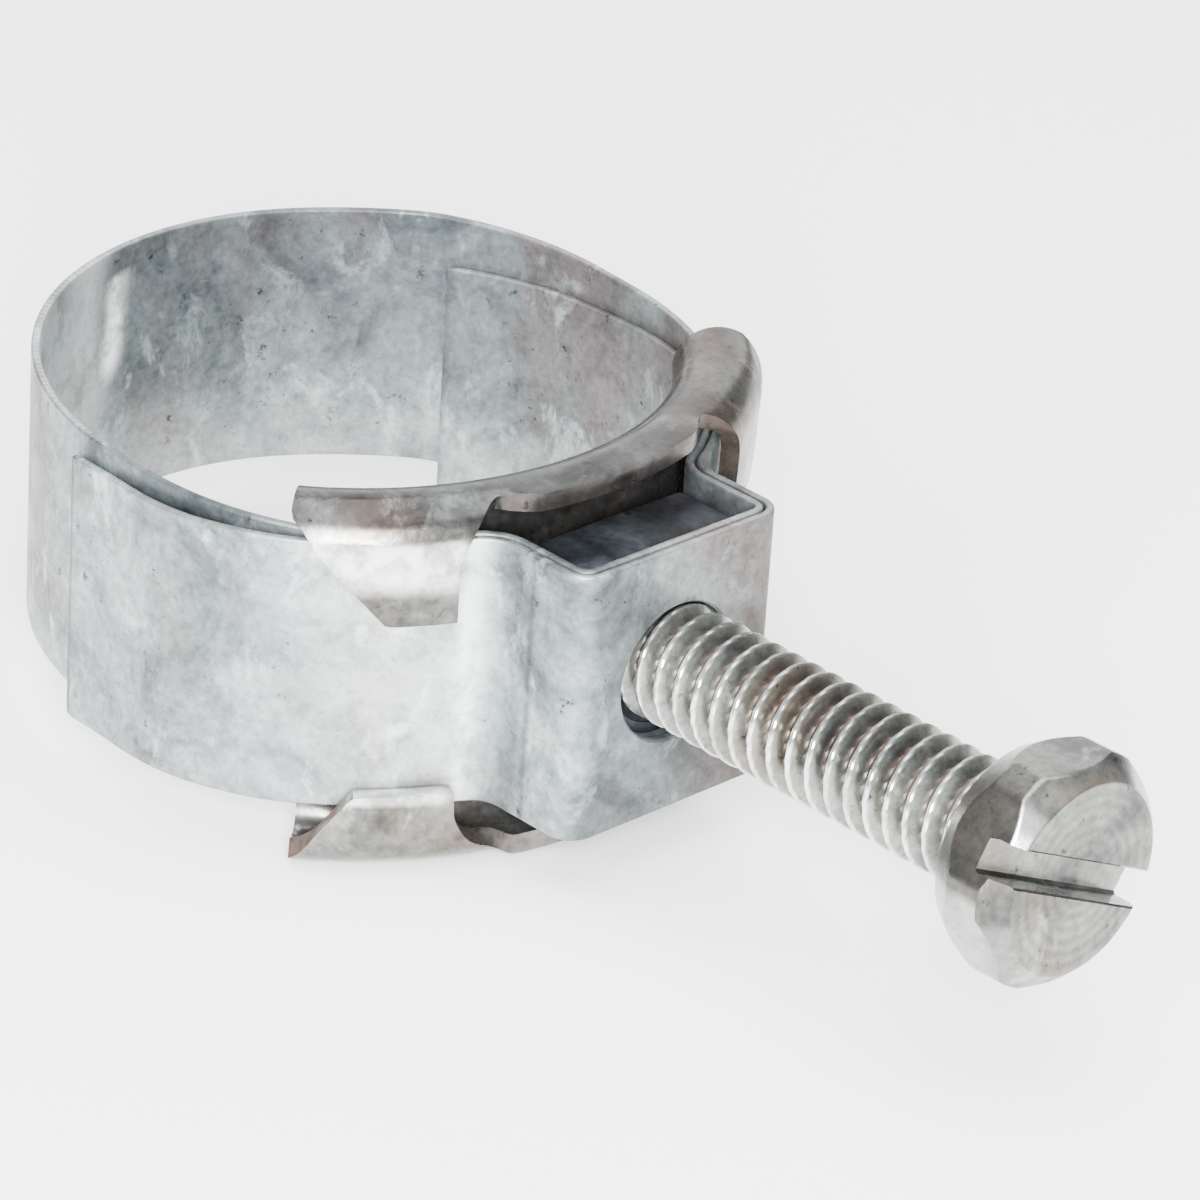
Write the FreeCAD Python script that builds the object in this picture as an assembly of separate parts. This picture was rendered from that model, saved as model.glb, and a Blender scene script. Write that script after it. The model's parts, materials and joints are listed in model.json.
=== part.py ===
import FreeCAD, Part
import math
import os

# Tower hose clamp: one strip of sheet steel wound twice round the hose and bent
# out into a square tower, a saddle-shaped bridge under it, and a square nut and
# slotted hex screw inside the tower.
# Millimetres.  +Z is the hose axis, the origin is the hose centre at the
# tower's mid-height, and the screw points along -Y.

Vector = FreeCAD.Vector
ORIGIN = Vector(0, 0, 0)
UP = Vector(0, 0, 1)

# ---- driving dimensions -------------------------------------------------
hose_radius = 15.875          # 1 1/4 inch hose
strip_thickness = 0.45
strip_width = 14.3            # 9/16 inch strip
ply_gap = 0.10                # air between the two turns of the strip
front_drop = 2.4              # the front half of the ring is centred this far towards the tower
loop_rise = 3.4               # degrees the ring's loop slopes up from the tower
loop_lean = 1.6               # degrees the loop slopes up from left to right
tail_fall = 1.6               # degrees the two free ends slope down from the tower
outer_tail_angle = 173.0      # polar angle where the outer free end stops
inner_tail_angle = 31.0       # polar angle where the inner free end stops
ease_sweep = 28.0             # degrees over which the outer turn steps in past the inner end

tower_front = -23.9           # outer face of the tower's front wall
tower_half_width = 6.75
tower_corner_radius = 1.25    # outer turn, to its centreline
tower_foot_radius = 1.8       # outer turn, to its centreline
hole_radius = 3.6
hole_centre = (-0.15, 0.35)   # x and z: the hole is a little off the screw

bridge_thickness = 1.0
bridge_inner_radius = 16.05
bridge_half_span = 50.0       # degrees each side of the screw
claw_start = 27.0             # degrees from the screw to a claw's near side
roll_radius = 1.25            # inside of the rolled rim
upper_roll_height = 7.7       # the upper rim's bend centre above the tower's middle
lower_roll_height = 7.7       # the lower rim's bend centre below the tower's middle
rim_bend = 95.0               # how far the rim turns between the claws
rim_length = 1.5              # flat beyond that bend
bridge_lean = 2.0             # degrees the bridge rises towards +X
claw_bend = 183.5             # how far the rim turns at the claws
upper_claw_length = 3.8       # flat beyond the bend
lower_claw_length = 2.0
claw_cut_angle = 39.5         # the claws' outer sides are cut back by this much
claw_cut_start = 1.5          # how far above the bend centre the cut starts

screw_height = 0.7            # the screw's axis above the tower's middle
major_radius = 3.11
minor_radius = 2.43
pitch = 1.27                  # 20 threads to the inch
thread_angle = 30.0           # each flank from the crest's face
crest_half_width = pitch / 16
tip_chamfer = 0.5
tip_land = 1.2                # from the tip to the first crest
head_land = 1.5               # plain shank left under the head
under_head_length = 28.575    # 1 1/8 inch
tip_gap = 0.05
head_across_flats = 10.9      # 7/16 inch nominal, as formed
head_height = 4.6
head_turn = 32.0              # degrees the hexagon is turned from a corner straight up
slot_turn = 25.0              # degrees the slot falls towards +X
slot_width = 1.8
slot_depth = 1.8
head_face_radius = 4.8        # flat top inside its chamfer
head_seat_radius = 4.9        # flat underside inside its chamfer
face_chamfer = 45.0           # degrees from the flat top
seat_chamfer = 58.0           # degrees from the underside
head_corner_radius = 5.9      # the corners are turned down to this

nut_width = 11.11             # 7/16 inch square nut
nut_thickness = 4.76
nut_gap = 0.06                # behind the tower's front wall
nut_bore_clearance = 0.05
nut_corner = 0.5              # the nut's corners are cut off this much

# ---- derived --------------------------------------------------------------
ply_pitch = strip_thickness + ply_gap
half = strip_thickness / 2
inner_radius = hose_radius + half                 # centreline of the inner turn
outer_radius = inner_radius + ply_pitch           # centreline of the outer turn
front_centre = Vector(0, -front_drop, 0)
bridge_outer_radius = bridge_inner_radius + bridge_thickness
tip_y = -(bridge_outer_radius + tip_gap)
head_base_y = tip_y - under_head_length
nut_front_y = tower_front + strip_thickness + ply_pitch + nut_gap


def at_angle(centre, radius, degrees):
    """A point on a circle about a vertical axis."""
    turn = math.radians(degrees)
    return centre + Vector(radius * math.cos(turn), radius * math.sin(turn), 0)


class Path:
    """A bent sheet's line in a plane: straights and arcs that meet smoothly."""

    def __init__(self, start, heading):
        self.point = start
        self.heading = heading
        self.steps = []

    def straight(self, length):
        direction = at_angle(ORIGIN, 1, self.heading)
        end = self.point + direction * length
        self.steps.append(("line", self.point, end, self.heading))
        self.point = end
        return self

    def bend(self, radius, degrees):
        """Turn left by a positive angle, right by a negative one."""
        side = 1 if degrees > 0 else -1
        centre = at_angle(self.point, radius, self.heading + 90 * side)
        first = self.heading - 90 * side
        self.steps.append(("arc", centre, radius, first, first + degrees, side))
        self.point = at_angle(centre, radius, first + degrees)
        self.heading += degrees
        return self

    def side_edges(self, shift):
        """The path moved sideways: a positive shift is to its left."""
        edges = []
        for step in self.steps:
            if step[0] == "line":
                sideways = at_angle(ORIGIN, shift, step[3] + 90)
                edges.append(Part.makeLine(step[1] + sideways, step[2] + sideways))
                continue
            _, centre, radius, first, last, side = step
            reach = radius - side * shift
            middle = (first + last) / 2
            ends = [at_angle(centre, reach, angle) for angle in (first, middle, last)]
            edges.append(Part.Arc(*ends).toShape())
        return edges

    def face(self, left, right):
        """The sheet's section between two sideways shifts."""
        left_side = self.side_edges(left)
        right_side = self.side_edges(right)
        start_cap = Part.makeLine(left_side[0].Vertexes[0].Point, right_side[0].Vertexes[0].Point)
        end_cap = Part.makeLine(left_side[-1].Vertexes[-1].Point, right_side[-1].Vertexes[-1].Point)
        edges = left_side + [end_cap] + right_side + [start_cap]
        return Part.Face(Part.Wire(Part.__sortEdges__(edges)))


def foot_angle():
    """Angle from the screw at which the ring meets the tower's foot bend."""
    reach = tower_half_width - half + tower_foot_radius
    return math.degrees(math.asin(reach / (outer_radius + tower_foot_radius)))


def tower_path():
    """Centreline of the outer turn, from the left foot round the tower to the right foot."""
    foot = foot_angle()
    start = at_angle(front_centre, outer_radius, 270 - foot)
    foot_centre_y = -front_drop - (outer_radius + tower_foot_radius) * math.cos(math.radians(foot))
    wall = foot_centre_y - (tower_front + half + tower_corner_radius)
    front = 2 * (tower_half_width - half - tower_corner_radius)
    path = Path(start, 360 - foot)
    path.bend(tower_foot_radius, -(90 - foot))
    path.straight(wall)
    path.bend(tower_corner_radius, 90)
    path.straight(front)
    path.bend(tower_corner_radius, 90)
    path.straight(wall)
    path.bend(tower_foot_radius, -(90 - foot))
    return path


def outer_tail_path():
    """Centreline of the outer free end, from its tip to the left foot."""
    path = Path(at_angle(ORIGIN, outer_radius, outer_tail_angle), outer_tail_angle + 90)
    path.bend(outer_radius, 180 - outer_tail_angle)
    path.straight(front_drop)
    path.bend(outer_radius, 90 - foot_angle())
    return path


def inner_tail_path():
    """Centreline of the inner free end, from the right foot to its tip."""
    foot = foot_angle()
    path = Path(at_angle(front_centre, inner_radius, 270 + foot), foot)
    path.bend(inner_radius, 90 - foot)
    path.straight(front_drop)
    path.bend(inner_radius, inner_tail_angle)
    return path


def loop_path():
    """Centreline of the single loop, from the right foot round the back to the left foot."""
    foot = foot_angle()
    path = Path(at_angle(front_centre, outer_radius, 270 + foot), foot)
    path.bend(outer_radius, 90 - foot)
    path.straight(front_drop)
    path.bend(outer_radius, inner_tail_angle + 1)
    # two arcs that step in from the outer radius to the inner one
    sweep = math.radians(ease_sweep)
    shift = ply_pitch * (2 + math.sqrt(2 + 2 * math.cos(sweep))) / (2 * (1 - math.cos(sweep)))
    tight = outer_radius - shift
    wide = inner_radius + shift
    tilt = math.atan2(shift * math.sin(sweep), shift + shift * math.cos(sweep))
    path.bend(tight, math.degrees(tilt))
    path.bend(wide, ease_sweep - math.degrees(tilt))
    path.bend(inner_radius, 180 - inner_tail_angle - 1 - ease_sweep)
    path.straight(front_drop)
    path.bend(inner_radius, 90 - foot)
    return path


def tilted_slab(rise, lean):
    """The strip's width, sloping up from the tower's foot to the back and from left to right."""
    length = 6 * hose_radius
    slab = Part.makeBox(length, length, strip_width, Vector(-length / 2, -length / 2, -strip_width / 2))
    foot_y = front_centre.y - outer_radius * math.cos(math.radians(foot_angle()))
    pivot = Vector(0, foot_y, 0)
    slab.rotate(pivot, Vector(1, 0, 0), rise)
    slab.rotate(pivot, Vector(0, 1, 0), -lean)
    return slab


def strip(path, left, right, rise=0, lean=0):
    """One run of the strip, cut to width between two sloping planes."""
    height = 3 * strip_width
    face = path.face(left, right)
    face.translate(Vector(0, 0, -height / 2))
    return face.extrude(Vector(0, 0, height)).common(tilted_slab(rise, lean))


def make_band():
    """The whole strip: outer free end, tower, loop, tower again, inner free end."""
    inner_left = half + ply_pitch
    inner_right = inner_left - strip_thickness
    pieces = [
        strip(outer_tail_path(), half, -half, -tail_fall),
        strip(tower_path(), half, -half),
        strip(loop_path(), half, -half, loop_rise, loop_lean),
        strip(tower_path(), inner_left, inner_right),
        strip(inner_tail_path(), half, -half, -tail_fall),
    ]
    band = pieces[0].multiFuse(pieces[1:])
    x, z = hole_centre
    wall = strip_thickness + ply_pitch
    hole = Part.makeCylinder(hole_radius, wall, Vector(x, tower_front, z), Vector(0, 1, 0))
    return band.cut(hole).removeSplitter().Solids[0]


def bridge_section(bend, roll_height, flat):
    """Half of the bridge's section, x outwards from the hose axis and y up to one rim."""
    path = Path(Vector(bridge_inner_radius + bridge_thickness / 2, 0, 0), 90)
    path.straight(roll_height)
    path.bend(roll_radius + bridge_thickness / 2, -bend)
    path.straight(flat)
    return path.face(bridge_thickness / 2, -bridge_thickness / 2)


def bridge_sector(bend, roll_height, flat, first, last):
    """A half section turned about the hose axis, first and last in degrees from the screw."""
    face = bridge_section(bend, roll_height, flat)
    face.rotate(ORIGIN, Vector(1, 0, 0), 90)
    face.rotate(ORIGIN, UP, 270 + first)
    return face.revolve(ORIGIN, UP, last - first)


def claw_cutter(side, roll_height, flat):
    """A wedge that cuts the outer side of a claw back towards its tip."""
    outwards = at_angle(ORIGIN, 1, 270 + side * bridge_half_span)
    away = at_angle(ORIGIN, side, side * bridge_half_span)
    start = outwards * (bridge_outer_radius + roll_radius)
    top = roll_height + claw_cut_start
    depth = claw_cut_start + 2 * flat
    slant = depth * math.tan(math.radians(claw_cut_angle))
    points = [
        start + UP * top,
        start - away * slant + UP * (top - depth),
        start + away * bridge_outer_radius + UP * (top - depth),
        start + away * bridge_outer_radius + UP * top,
    ]
    return Part.Face(Part.makePolygon(points + [points[0]])).extrude(outwards * bridge_outer_radius)


def bridge_half(roll_height, flat):
    """The plate from its middle to one rim, with that rim's two claws."""
    pieces = [bridge_sector(rim_bend, roll_height, rim_length, -claw_start, claw_start)]
    for side in (1, -1):
        span = sorted((side * claw_start, side * bridge_half_span))
        claw = bridge_sector(claw_bend, roll_height, flat, *span)
        pieces.append(claw.cut(claw_cutter(side, roll_height, flat)))
    return pieces[0].multiFuse(pieces[1:])


def make_bridge():
    """A curved saddle with rolled rims and four claws folded over the strip."""
    upper = bridge_half(upper_roll_height, upper_claw_length)
    lower = bridge_half(lower_roll_height, lower_claw_length).mirror(ORIGIN, UP)
    bridge = upper.fuse(lower).removeSplitter().Solids[0]
    bridge.rotate(ORIGIN, Vector(0, 1, 0), -bridge_lean)
    return bridge


def hexagon_prism(across_flats, height, y_base):
    """A hexagonal prism pointing along -Y from y_base."""
    radius = across_flats / math.sqrt(3)
    points = [Vector(radius * math.sin(math.radians(60 * i)), 0, radius * math.cos(math.radians(60 * i)))
              for i in range(7)]
    prism = Part.Face(Part.makePolygon(points)).extrude(Vector(0, -height, 0))
    prism.translate(Vector(0, y_base, 0))
    return prism


def turned(profile):
    """A solid turned about the Y axis from (radius, y) points."""
    points = [Vector(radius, y, 0) for radius, y in profile]
    wire = Part.makePolygon(points + [points[0]])
    return Part.Face(wire).revolve(ORIGIN, Vector(0, 1, 0), 360)


def make_screw():
    """Slotted hex-head machine screw, its thread drawn as rings of the true pitch."""
    profile = [(0, tip_y), (minor_radius - tip_chamfer, tip_y), (minor_radius, tip_y - tip_chamfer)]
    flank = (major_radius - minor_radius) * math.tan(math.radians(thread_angle))
    count = int((under_head_length - head_land) / pitch)
    for i in range(count):
        y = tip_y - tip_land - i * pitch
        profile.append((minor_radius, y + crest_half_width + flank))
        profile.append((major_radius, y + crest_half_width))
        profile.append((major_radius, y - crest_half_width))
        profile.append((minor_radius, y - crest_half_width - flank))
    profile.append((minor_radius, head_base_y))
    profile.append((0, head_base_y))
    shank = turned(profile)
    head = hexagon_prism(head_across_flats, head_height, head_base_y)
    top_y = head_base_y - head_height
    face_slope = math.tan(math.radians(face_chamfer))
    seat_slope = math.tan(math.radians(seat_chamfer))
    envelope = turned([
        (0, head_base_y),
        (head_seat_radius, head_base_y),
        (head_corner_radius, head_base_y - seat_slope * (head_corner_radius - head_seat_radius)),
        (head_corner_radius, top_y + face_slope * (head_corner_radius - head_face_radius)),
        (head_face_radius, top_y),
        (0, top_y),
    ])
    head.rotate(ORIGIN, Vector(0, 1, 0), head_turn)
    head = head.common(envelope)
    slot = Part.makeBox(2 * head_across_flats, slot_depth, slot_width)
    slot.translate(Vector(-head_across_flats, top_y, -slot_width / 2))
    slot.rotate(ORIGIN, Vector(0, 1, 0), slot_turn)
    head = head.cut(slot)
    screw = shank.fuse(head).removeSplitter()
    screw.translate(Vector(0, 0, screw_height))
    return screw.Solids[0]


def make_nut():
    """Square nut, held from turning by the tower's walls."""
    nut = Part.makeBox(nut_width, nut_thickness, nut_width)
    upright = [edge for edge in nut.Edges if abs(edge.tangentAt(0).z) > 0.5]
    nut = nut.makeChamfer(nut_corner, upright)
    nut.translate(Vector(-nut_width / 2, nut_front_y, screw_height - nut_width / 2))
    bore_start = Vector(0, nut_front_y, screw_height)
    bore = Part.makeCylinder(major_radius + nut_bore_clearance, nut_thickness, bore_start, Vector(0, 1, 0))
    return nut.cut(bore)


PARTS = {
    "band": make_band,
    "bridge": make_bridge,
    "nut": make_nut,
    "screw": make_screw,
}

os.makedirs("parts", exist_ok=True)
for name, make in PARTS.items():
    shape = make()
    shape.exportStep("parts/" + name + ".step")
    box = shape.BoundBox
    print(name, shape.isValid(), len(shape.Solids), round(shape.Volume, 1),
          [round(v, 2) for v in (box.XMin, box.YMin, box.ZMin, box.XMax, box.YMax, box.ZMax)])
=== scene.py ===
import json
import math

import bpy
import numpy as np
from mathutils import Matrix, Vector


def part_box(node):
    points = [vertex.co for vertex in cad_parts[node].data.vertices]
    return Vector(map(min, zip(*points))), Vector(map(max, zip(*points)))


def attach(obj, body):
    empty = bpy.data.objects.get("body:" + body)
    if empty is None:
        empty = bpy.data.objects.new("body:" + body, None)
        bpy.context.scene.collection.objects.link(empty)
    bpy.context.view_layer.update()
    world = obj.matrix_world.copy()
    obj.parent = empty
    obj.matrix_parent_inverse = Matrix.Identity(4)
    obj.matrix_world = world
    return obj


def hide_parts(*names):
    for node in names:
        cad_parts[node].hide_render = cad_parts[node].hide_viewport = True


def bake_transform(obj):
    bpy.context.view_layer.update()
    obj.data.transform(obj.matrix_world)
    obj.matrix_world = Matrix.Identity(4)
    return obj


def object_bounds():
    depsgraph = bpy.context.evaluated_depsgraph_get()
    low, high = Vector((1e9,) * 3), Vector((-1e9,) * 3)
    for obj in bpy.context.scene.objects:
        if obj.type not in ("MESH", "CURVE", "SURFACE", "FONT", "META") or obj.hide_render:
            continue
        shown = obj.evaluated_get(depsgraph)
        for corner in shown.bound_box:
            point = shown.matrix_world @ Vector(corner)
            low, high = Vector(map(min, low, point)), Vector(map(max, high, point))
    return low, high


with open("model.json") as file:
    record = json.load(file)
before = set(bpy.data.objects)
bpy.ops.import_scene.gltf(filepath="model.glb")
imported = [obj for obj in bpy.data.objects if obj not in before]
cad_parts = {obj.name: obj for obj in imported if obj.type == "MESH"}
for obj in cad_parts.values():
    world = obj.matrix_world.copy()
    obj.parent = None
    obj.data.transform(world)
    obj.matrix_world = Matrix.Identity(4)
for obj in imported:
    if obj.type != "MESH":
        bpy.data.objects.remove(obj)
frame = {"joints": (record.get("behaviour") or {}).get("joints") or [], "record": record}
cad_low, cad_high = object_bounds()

# Tower hose clamp.  Metres, in the CAD's frame: +Z is the hose axis and the
# screw points along -Y.  Sizes below are millimetres times MM.
MM = 0.001

record = frame["record"]
mount = {m["name"]: m for m in record["mounts"]}
joint = {j["name"]: j for j in frame["joints"]}
band_low, band_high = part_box("band")
nut_low, nut_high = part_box("nut")
screw_low, screw_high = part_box("screw")

# ---- sizes of the strip -------------------------------------------------
HOSE_RADIUS = mount["hose_bore"]["dims"]["r_mm"] * MM
STRIP_THICKNESS = 0.45 * MM
STRIP_WIDTH = 14.3 * MM
PLY_PITCH = (band_high.x - HOSE_RADIUS) - STRIP_THICKNESS
FRONT_DROP = 2.4 * MM
TOWER_FRONT = band_low.y
TOWER_HALF_WIDTH = 6.75 * MM
CORNER_RADIUS = 1.25 * MM
FOOT_RADIUS = 1.8 * MM
OUTER_TAIL_ANGLE = 173.0
INNER_TAIL_ANGLE = 31.0
EASE_SWEEP = 28.0
LOOP_RISE = 0.0594            # the loop climbs this much for each unit of y
LOOP_LEAN = 0.028             # and this much for each unit of x
TAIL_FALL = 0.028             # the two ends fall this much for each unit of y
PLY_SPREAD = 0.62 * MM        # the outer end stands off the inner turn at the left
HOLE_RADIUS = 3.6 * MM
HOLE_CENTRE = (-0.15 * MM, 0.35 * MM)

# ---- sizes of the bridge ------------------------------------------------
BRIDGE_THICKNESS = 1.0 * MM
BRIDGE_INNER = 16.05 * MM
BRIDGE_SPAN = 50.0            # half the plate's arc, in degrees from the tower
CLAW_START = 27.0             # where a claw begins, the same way
ROLL_RADIUS = 1.25 * MM
CLAW_CUT_START = 1.5 * MM
CLAW_CUT_SLOPE = math.tan(math.radians(39.5))
UPPER_ROLL = 7.7 * MM
LOWER_ROLL = 7.7 * MM
RIM_BEND = 95.0
RIM_LENGTH = 1.5 * MM
CLAW_BEND = 183.5
UPPER_CLAW = 3.8 * MM
LOWER_CLAW = 2.0 * MM
BRIDGE_LEAN = 2.0
CLAW_ARC = 20 * MM            # radius at which a claw's slanted cut is laid out
RIM_FILLET = 2.2 * MM
RIM_DIP = 0.9 * MM            # the upper rim dips beside each claw

# ---- sizes of the screw and nut -----------------------------------------
SCREW_HEIGHT = joint["screw_turn"]["pos_m"][2]
MAJOR = 3.11 * MM
MINOR = 2.43 * MM
PITCH = 1.27 * MM
HEAD_FLATS = 10.9 * MM
HEAD_HEIGHT = 4.6 * MM
HEAD_TURN = 28.0              # a flat's direction, from +X towards +Z
SLOT_TURN = -25.0             # the slot's direction, the same way
SLOT_WIDTH = 1.8 * MM
SLOT_DEPTH = 1.8 * MM
HEAD_FACE = 4.8 * MM
HEAD_SEAT = 4.9 * MM
HEAD_CORNER = 5.9 * MM
TURNED_MARK = 0.62 * MM       # spacing of the rings of painted shade on the head's face, after its turning marks
FACE_SLOPE = math.tan(math.radians(45))
SEAT_SLOPE = math.tan(math.radians(58))
THREAD_CREST = 0.14           # how far the flat crest reaches, of half a pitch each way
THREAD_ROOT = 0.84            # where the flank meets the root, the same way
FACE_GROOVE = 0.022 * MM      # the deepest turning mark on the head's face

# ---- mesh ---------------------------------------------------------------
STATION_STEP = 0.22 * MM      # half the spacing of the points along the strip
WALL_STEP = 0.08 * MM         # the same on the tower's walls, which stretch with the nut
CREASE_ANGLE = 38.0           # edges sharper than this stay crisp
SCREW_CREASE = 30.0           # the same on the screw and nut

# ---- places where shade and highlights are painted ------------------------
WALL_CREASE_SHADE = -19.6 * MM      # a line of painted shade down the tower's left wall, for a crease
THIN_CREASE_SHADE = -20.45 * MM     # a thinner line of painted shade a little further forward
RING_HIGHLIGHT_TURN = 100.5           # a painted highlight streak inside the ring
FOOT_HIGHLIGHT_TURN = 245.5             # the painted highlight on the left foot
CLAW_OUTSIDE = 19.8 * MM      # radius past which a claw shows its outer face


def new_piece(name, vertices, faces, nodes, material, sharp=CREASE_ANGLE):
    """A mesh object that stands for CAD nodes."""
    mesh = bpy.data.meshes.new(name)
    mesh.from_pydata([tuple(v) for v in vertices], [], faces)
    mesh.validate()
    piece = bpy.data.objects.new(name, mesh)
    bpy.context.scene.collection.objects.link(piece)
    mesh.materials.append(material)
    finish_shading(mesh, sharp)
    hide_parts(*nodes)
    return piece


def finish_shading(mesh, sharp):
    """Smooth shading, with edges over this angle kept crisp."""
    for polygon in mesh.polygons:
        polygon.use_smooth = True
    mesh.set_sharp_from_angle(angle=math.radians(sharp))


def smooth_step(value, low, high):
    t = min(max((value - low) / (high - low), 0.0), 1.0)
    return t * t * (3 - 2 * t)


def bell(value, middle, width):
    return math.exp(-((value - middle) / width) ** 2)


def paint(piece, **amounts):
    """Stores how rusty each face corner is and how much painted shade or painted highlight it gets, from
    its place and its face's direction.
    """
    mesh = piece.data
    places = [vertex.co.copy() for vertex in mesh.vertices]
    for name, amount in amounts.items():
        attribute = mesh.attributes.new(name, "FLOAT", "CORNER")
        values = [0.0] * len(mesh.loops)
        for polygon in mesh.polygons:
            normal = polygon.normal
            for loop in polygon.loop_indices:
                values[loop] = amount(places[mesh.loops[loop].vertex_index], normal)
        attribute.data.foreach_set("value", values)


def bake_modifiers(piece, sharp):
    """Applies a piece's modifiers to its mesh."""
    bpy.context.view_layer.update()
    depsgraph = bpy.context.evaluated_depsgraph_get()
    mesh = bpy.data.meshes.new_from_object(piece.evaluated_get(depsgraph))
    piece.modifiers.clear()
    piece.data = mesh
    finish_shading(mesh, sharp)


def cut(piece, cutter, sharp):
    """Cuts one closed mesh out of another and removes the cutter."""
    modifier = piece.modifiers.new("cut", "BOOLEAN")
    modifier.operation = "DIFFERENCE"
    modifier.solver = "EXACT"
    modifier.object = cutter
    bake_modifiers(piece, sharp)
    bpy.data.objects.remove(cutter)


def lathe(name, profile, centre, sides=96):
    """A closed solid turned about the Y direction from (radius, y) points."""
    vertices = []
    for radius, y in profile:
        for i in range(sides):
            turn = 2 * math.pi * i / sides
            vertices.append((centre[0] + radius * math.cos(turn), y, centre[1] + radius * math.sin(turn)))
    faces = [tuple(range(sides)), tuple(reversed(range(len(vertices) - sides, len(vertices))))]
    for ring in range(len(profile) - 1):
        for i in range(sides):
            a = ring * sides + i
            b = ring * sides + (i + 1) % sides
            faces.append((b, a, a + sides, b + sides))
    mesh = bpy.data.meshes.new(name)
    mesh.from_pydata(vertices, [], faces)
    solid = bpy.data.objects.new(name, mesh)
    bpy.context.scene.collection.objects.link(solid)
    return solid


# ======================= materials =======================

class Nodes:
    """A short way to write a node tree."""

    def __init__(self, name):
        self.material = bpy.data.materials.new(name)
        self.material.use_nodes = True
        self.tree = self.material.node_tree
        self.shader = self.tree.nodes["Principled BSDF"]
        coordinates = self.tree.nodes.new("ShaderNodeTexCoord")
        self.place = coordinates.outputs["Object"]

    def link(self, output, socket):
        self.tree.links.new(output, socket)

    def stretched(self, scale):
        mapping = self.tree.nodes.new("ShaderNodeMapping")
        mapping.inputs["Scale"].default_value = scale
        self.link(self.place, mapping.inputs["Vector"])
        return mapping.outputs["Vector"]

    def noise(self, scale, detail=4.0, roughness=0.55, vector=None, distortion=0.0):
        node = self.tree.nodes.new("ShaderNodeTexNoise")
        node.inputs["Scale"].default_value = scale
        node.inputs["Detail"].default_value = detail
        node.inputs["Roughness"].default_value = roughness
        node.inputs["Distortion"].default_value = distortion
        self.link(vector or self.place, node.inputs["Vector"])
        return node.outputs["Fac"]

    def ramp(self, factor, stops):
        """A colour ramp; a stop is (position, grey or colour)."""
        node = self.tree.nodes.new("ShaderNodeValToRGB")
        elements = node.color_ramp.elements
        while len(elements) < len(stops):
            elements.new(0.5)
        for element, (position, colour) in zip(elements, stops):
            element.position = position
            if isinstance(colour, (int, float)):
                colour = (colour, colour, colour)
            element.color = (*colour, 1)
        self.link(factor, node.inputs["Fac"])
        return node.outputs["Color"]

    def mix(self, factor, a, b, blend="MIX"):
        node = self.tree.nodes.new("ShaderNodeMix")
        node.data_type = "RGBA"
        node.blend_type = blend
        for socket, value in (("Factor", factor), ("A", a), ("B", b)):
            inputs = [s for s in node.inputs if s.name == socket and s.enabled]
            target = inputs[0]
            if isinstance(value, (int, float)):
                target.default_value = value
            elif isinstance(value, tuple):
                target.default_value = (*value, 1)
            else:
                self.link(value, target)
        return [s for s in node.outputs if s.enabled][0]

    def maths(self, operation, a, b=0.5):
        node = self.tree.nodes.new("ShaderNodeMath")
        node.operation = operation
        for socket, value in zip(node.inputs, (a, b)):
            if isinstance(value, (int, float)):
                socket.default_value = value
            else:
                self.link(value, socket)
        return node.outputs["Value"]

    def attribute(self, name):
        node = self.tree.nodes.new("ShaderNodeAttribute")
        node.attribute_name = name
        return node.outputs["Fac"]

    def bump(self, height, strength, distance, under=None):
        node = self.tree.nodes.new("ShaderNodeBump")
        node.inputs["Strength"].default_value = strength
        node.inputs["Distance"].default_value = distance
        self.link(height, node.inputs["Height"])
        if under:
            self.link(under, node.inputs["Normal"])
        return node.outputs["Normal"]


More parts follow.
